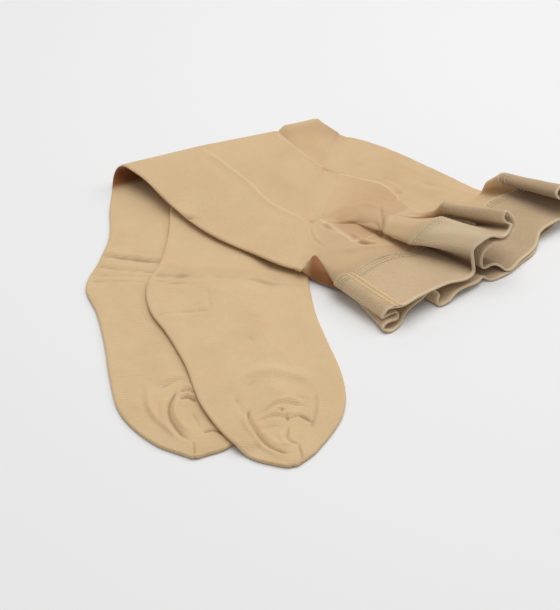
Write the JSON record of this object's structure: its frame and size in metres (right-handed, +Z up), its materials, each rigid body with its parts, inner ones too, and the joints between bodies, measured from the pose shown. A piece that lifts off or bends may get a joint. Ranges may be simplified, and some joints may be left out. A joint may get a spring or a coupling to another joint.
{
  "type": "compression tights",
  "caption": "Compression tights in sand-coloured knit, folded over and lying flat: closed-foot legs, brief part with gusset, wide elastic waistband in soft waves",
  "frame": {"origin": "on the surface it lies on, under the middle of the whole garment's box", "axes": "+Z up off the surface; the feet point towards -Y, the fold is near +Y and the waistband spreads at +X"},
  "size_m": [0.3412, 0.3708, 0.044],
  "materials": {
    "leg_knit": "fine compression knit, matt with a soft sheen",
    "brief_knit": "fine knit, a little more open than the legs",
    "gusset_knit": "fine knit panel with flat seams",
    "elastic": "ribbed elastic band, matt",
    "thread": "overlocked seam"
  },
  "bodies": {
    "root": {"leg_under": "leg_knit", "leg_over": "leg_knit", "brief": "brief_knit", "gusset": "gusset_knit", "waistband": "elastic", "waistband_seam": "thread"}
  },
  "joints": []
}
